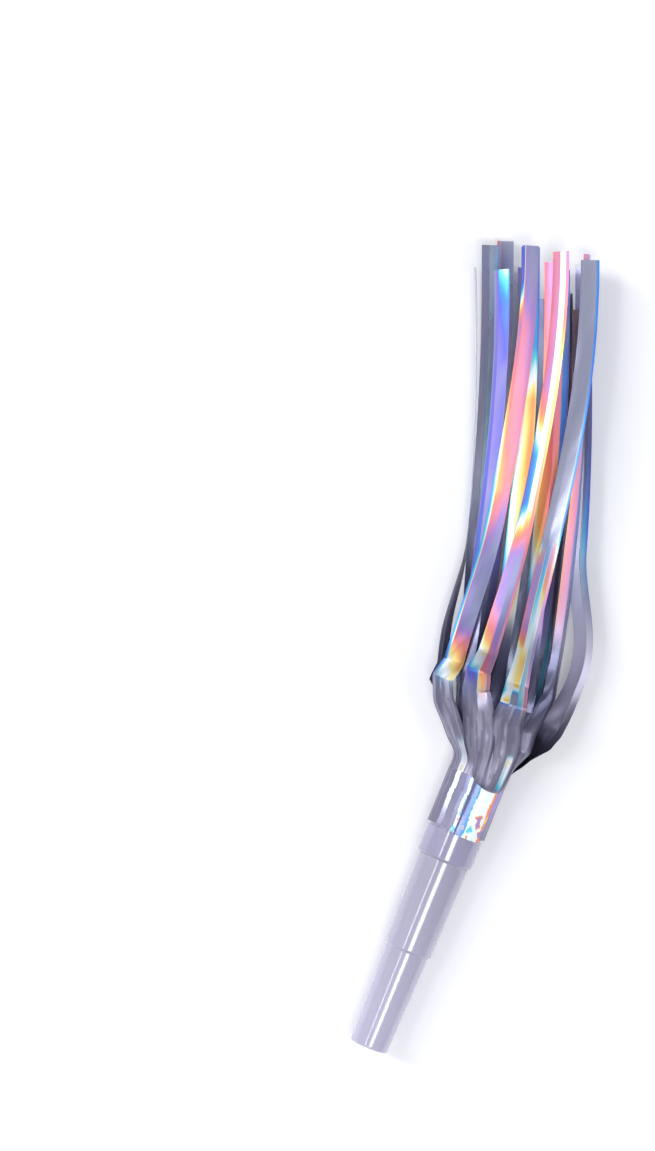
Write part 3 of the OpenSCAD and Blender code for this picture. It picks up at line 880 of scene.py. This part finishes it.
def chance_facets(rng, hue):
    """Two facets for a strip that has none in LOOKS, with a crease at random between them."""
    return [
        (-1.0, 0.15, [(0, hue, 0.1), (0.3, hue, 0.6), (0.6, hue + 0.12, 0.8), (1, hue + 0.2, 0.6)]),
        (rng.uniform(-0.3, 0.4), -0.2, [(0, 0.02, 0.1), (0.5, 0.04, 0.3), (1, 0.10, 0.4)]),
    ]


class StripFilm:
    """One strip as it is seen: its construction's path with folds, creases and looks of its own."""

    def __init__(self, name, row, rng):
        self.row = row
        self.crush = FLAT_CRUSH if name in FLAT_STRIPS else 1.0
        hue = rng.uniform(0, 1)
        self.facets = LOOKS.get(name) or chance_facets(rng, hue)
        self.rises = [facet_rise(self.facets, -u) for u in ACROSS]
        self.crumples, _ = crumple(rng, *CRUMPLE_CELL)
        self.pleats, self.facet_shade = crumple(rng, *PLEAT_CELL)

    def points(self, t):
        """Points of the film's middle across the strip at t."""
        row, wound = self.row, root_wound(self.row)
        centre, side, out = strip_axes(row, t)
        width = strip_width(row, t) + SKIRT_LAP * self.crush * bump(t, *LAP_SPAN)
        # At the collar the curl is an arc of the roll, and further on the row's own
        curl = width * mix(width / (8 * WIND_R), row.curl * CURL_GAIN, ease(t / CURL_SHARE))
        crease = width / 2 * ease(t / CREASE_SHARE)
        near = change(t, *CRUSH_START) * (1 - change(t, *CRUSH_END))
        rough = self.crush * mix(CRUSH_FAR, CRUSH_NEAR, near)
        points = []
        for u, rise in zip(ACROSS, self.rises):
            height = -curl * u * u + crease * rise
            height += rough * (self.crumples(t, u) + PLEAT_GAIN * skirt_at(t) * self.pleats(t, u))
            swept = centre + side * (u * width / 2) + out * height
            rolled = wound_point(wound - u * STRIP_HALF_A, centre[1] - BEND_GAP)
            point = mix(rolled, swept, ease(t / MORPH_SHARE))
            back, out_by = lobe(row, t, u)
            radial = unit(np.array([point[0], 0, point[2]]))
            points.append(point + radial * out_by - np.array([0, back, 0]))
        return points

    def look(self, t, u):
        """Look of the film at (t, u), in LOOK_KEYS' order."""
        layer, flat = self.row.layer, self.crush < 1
        skirt, waist = skirt_at(t), bump(t, *WAIST)
        facet = facet_of(self.facets, -u)
        shares, hues, glows = zip(*self.facets[facet][2])
        rim = change(abs(u), *RIM)
        hue = np.interp(t, shares, hues) - HUE_SLOPE * u - RIM_HUE * rim
        calm = (1 - SKIRT_CALM * skirt) * (1 - WAIST_CALM[layer] * waist)
        painted_sheen = (np.interp(t, shares, glows) + RIM_SHEEN * rim) * calm
        shown = min(1, painted_sheen)

        painted_shade = 1 - ROOT_DARK * (1 - change(t, *ROOT_END))
        painted_shade *= 1 - WAIST_DARK[layer] * waist
        painted_shade *= 1 - DUSK_DARK * self.crush * bump(t, *DUSK)
        painted_shade *= 1 - skirt * mix(*SKIRT_DARK, shown)
        painted_shade *= 1 - SLIT_DARK * change(abs(u), *SLIT) * change(t, *SLIT_START) * skirt
        painted_shade *= 1 + FACET_SHADE_GAIN * skirt * self.facet_shade(t + FACET_SHADE_SHEAR * u, u)
        if not flat:
            return hue, painted_sheen, painted_shade, max(skirt, PLAIN_DULL * (1 - shown))
        # A strip that wasn't crushed keeps one fold: painted shadow on its inner face, and a lighter painted
        # shade on the outer one
        beyond = change(t, *FOLD_END)
        painted_shade *= mix(FOLD_SHADES[min(facet, 1)], FOLD_FAR_SHADE, beyond)
        return hue, painted_sheen, painted_shade, 1 - FLAT_GLOSS * beyond

    def build(self, name, material):
        """The film as an object, in steps that grow longer away from the collar."""
        places = [(i / SHEET_ALONG) ** ROW_POWER for i in range(SHEET_ALONG + 1)]
        grid = np.array([self.points(t) for t in places])
        looks = np.array([[self.look(t, u) for u in ACROSS] for t in places])
        return film_sheet(name, grid, looks, material)


def build_strip(name, row, number, material):
    strip = StripFilm(name, row, random.Random(number * SEED_STEP + STRIP_SEED))
    piece = strip.build(name + "_film", material)
    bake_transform(piece)
    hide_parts(name)
    return piece


# Collar

def from_end(wound):
    """Distance from the film's free edge, in widths of the flap."""
    return (TOTAL_A - wound) / FLAP_A


def flap_at(wound):
    """How much the film belongs to the flap: 1 on it, but for the drop where it starts."""
    return ease((1 - from_end(wound)) / FLAP_DROP_SHARE)


def collar_sheen_and_shade(wound):
    """Place in the rainbow, painted sheen and painted shade, by the place round the collar's outer turn."""
    share = from_end(wound)
    if share <= 1:
        return FLAP_LOOK[min(len(FLAP_LOOK) - 1, int(share * len(FLAP_LOOK)))]
    theta = FILM_END_ANGLE + TOTAL_A - wound
    for start, end, look in COLLAR_LOOK:
        if start <= theta < end:
            return look
    return COLLAR_PLAIN


def collar_look(wound, s, stray, blots):
    """Look of the collar at a share s of its height, in LOOK_KEYS' order."""
    flap = flap_at(wound)
    hue, painted_sheen, painted_shade = collar_sheen_and_shade(min(TOTAL_A, wound + stray))
    if flap > 0:
        blot = blots(BLOT_SPAN * s, 2 * from_end(wound) - 1)
        moved = RAISED_HUE * change(blot, *RAISED) - SUNKEN_HUE * change(-blot, *SUNKEN)
        hue += flap * moved * (1 - change(s, *BLOT_END))
    else:
        fade = mix(FADE_LEAST, 1.0, change(s, *FADE_END))
        painted_sheen *= fade
        painted_shade = mix(FADE_SHADE, painted_shade, fade)
    return hue, painted_sheen, painted_shade, 1 - min(1.0, flap + painted_sheen)


def build_collar(material):
    """The film wound in a spiral, with lengthwise pleats, painted highlight streaks and its loose end painted
    bright.
    """
    rng = random.Random(COLLAR_SEED)
    stations = [0.0]
    while stations[-1] < TOTAL_A:
        stations.append(stations[-1] + rng.uniform(*PLEAT_STEP_A))
    pleats = [[rng.uniform(-1, 1) for _ in stations] for _ in range(PLEAT_RINGS)]
    blots, _ = crumple(rng, *BLOT_CELL)
    strays = [RAGGED_A * rng.uniform(-1, 1) for _ in range(COLLAR_DOWN + 1)]
    grid = np.zeros((COLLAR_AROUND + 1, COLLAR_DOWN + 1, 3))
    looks = np.zeros((COLLAR_AROUND + 1, COLLAR_DOWN + 1, len(LOOK_KEYS)))
    for i in range(COLLAR_AROUND + 1):
        wound = TOTAL_A * i / COLLAR_AROUND
        flap = flap_at(wound)
        lift = FLAP_LIFT * max(0.0, 1 - from_end(wound))
        wave = EDGE_WAVE * math.sin(math.radians(wound * EDGE_WAVES + EDGE_PHASE))
        low = COLLAR_AT + wave - FLAP_SKEW * flap
        heights = [np.interp(wound, stations, ring) for ring in pleats]
        for j, stray in enumerate(strays):
            s = j / COLLAR_DOWN
            pleat = PLEAT_H * np.interp(s * (PLEAT_RINGS - 1), range(PLEAT_RINGS), heights)
            offset = lift + pleat * (1 - FLAP_PRESSED * flap)
            grid[i, j] = wound_point(wound, mix(low, RIM_Y, s), offset)
            looks[i, j] = collar_look(wound, s, stray, blots)
    piece = film_sheet("film_collar_wrap", grid[::-1], looks[::-1], material)
    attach(piece, "tube")
    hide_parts("film_collar")
    return piece


def dress_inner_pieces(white, reed, glue):
    """Materials for the pieces inside the tube, which keep the frame's own shapes."""
    for node, material in {"reed_base": white, "reed_wedge": white, "reed_tail": reed,
                           "reed_tongue": reed, "glue_band": glue}.items():
        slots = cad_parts[node].data.materials
        if slots:
            slots[0] = material
        else:
            slots.append(material)


# Stage

def add_area(name, place, target, size, power, long_axis=(0, 0, 1)):
    """A rectangular lamp facing the target; its second size lies along long_axis."""
    light = bpy.data.lights.new(name, "AREA")
    light.shape = "RECTANGLE"
    light.size, light.size_y = size
    light.energy = power
    back = (Vector(place) - Vector(target)).normalized()
    across = Vector(long_axis).cross(back).normalized()
    turned = Matrix((across, back.cross(across), back)).transposed()
    obj = bpy.data.objects.new(name, light)
    obj.matrix_world = Matrix.Translation(place) @ turned.to_4x4()
    bpy.context.scene.collection.objects.link(obj)


def photo_to_table(px, py):
    """Where a pixel of the photograph's frame lies on the tube's plane, in metres."""
    dx, dy = px - LIP_PX[0], py - LIP_PX[1]
    x = (dx * math.cos(TILT) + dy * math.sin(TILT)) / PX_PER_M
    y = (dx * math.sin(TILT) - dy * math.cos(TILT)) / PX_PER_M
    return x, y


def build_camera(x, y):
    """A camera straight above a place, turned and set to the photograph's frame."""
    data = bpy.data.cameras.new("camera")
    data.sensor_fit = "AUTO"
    data.sensor_width = SENSOR
    data.lens = SENSOR * CAMERA_HEIGHT * PX_PER_M / PHOTO_H
    data.clip_start = 0.01
    data.clip_end = 20
    camera = bpy.data.objects.new("camera", data)
    camera.location = (x, y, CAMERA_HEIGHT)
    camera.rotation_euler = (0, 0, TILT)
    bpy.context.scene.collection.objects.link(camera)
    bpy.context.scene.camera = camera


def build_floor():
    corners = [(-1, -1), (1, -1), (1, 1), (-1, 1)]
    verts = [(x * FLOOR_HALF, y * FLOOR_HALF, TABLE_Z) for x, y in corners]
    floor = new_object("floor", verts, [(0, 1, 2, 3)], floor_material())


def build_lamps(x):
    """Two tall softboxes at the fringe, two lamps over the tube's axis for its glints, and a low fill."""
    fringe, axis, lip = (x * 0.3, 0.085, 0), (0, -0.06, 0), (0, 0, 0)
    add_area("softbox_left", place=(-0.62, 0.10, 0.42), target=fringe, size=(0.14, 0.9), power=4.4)
    add_area("softbox_right", place=(0.55, 0.20, 0.36), target=fringe, size=(0.10, 0.9), power=2.2)
    add_area("strip_over", place=(0.085, -0.06, 0.68), target=axis, size=(0.20, 0.18), power=1.1,
             long_axis=(0, 1, 0))
    add_area("strip_left", place=(-0.31, -0.06, 0.66), target=axis, size=(0.06, 0.18), power=0.27,
             long_axis=(0, 1, 0))
    add_area("fill_low", place=(-0.05, -0.46, 0.60), target=lip, size=(0.40, 0.16), power=0.80)


def build_stage():
    scene = bpy.context.scene
    scene.view_settings.view_transform = "Standard"
    x, y = photo_to_table(PHOTO_W / 2, PHOTO_H / 2)
    build_camera(x, y)
    build_floor()
    world = bpy.data.worlds.new("studio")
    world.use_nodes = True
    background = world.node_tree.nodes["Background"]
    background.inputs["Color"].default_value = (0.30, 0.31, 0.36, 1)
    background.inputs["Strength"].default_value = 1.0
    scene.world = world
    build_lamps(x)


build_stage()
milky = frosted_plastic("frosted_polypropylene", colour=(0.50, 0.485, 0.62), rough=0.20,
                        speckle=0.003 * MM, fade=0.77)
clearer = frosted_plastic("glossy_polypropylene", colour=(0.35, 0.335, 0.47), rough=0.12,
                          speckle=0.002 * MM)
film = holographic_film("holographic_film")
build_mouthpiece(milky)
build_barrel(clearer)
dress_inner_pieces(white=plain_plastic("white_plastic", colour=(0.8, 0.8, 0.82), rough=0.45),
                   reed=plain_plastic("reed_film", colour=(0.78, 0.74, 0.62), rough=0.3),
                   glue=plain_plastic("glue", colour=(0.75, 0.72, 0.62), rough=0.25))
collar = build_collar(film)
strips = []
for tuft, rows in STRIPS.items():
    for index, values in enumerate(rows):
        name = f"strip_{tuft}_{index + 1}"
        strips.append(build_strip(name, StripRow(*values), len(strips), film))
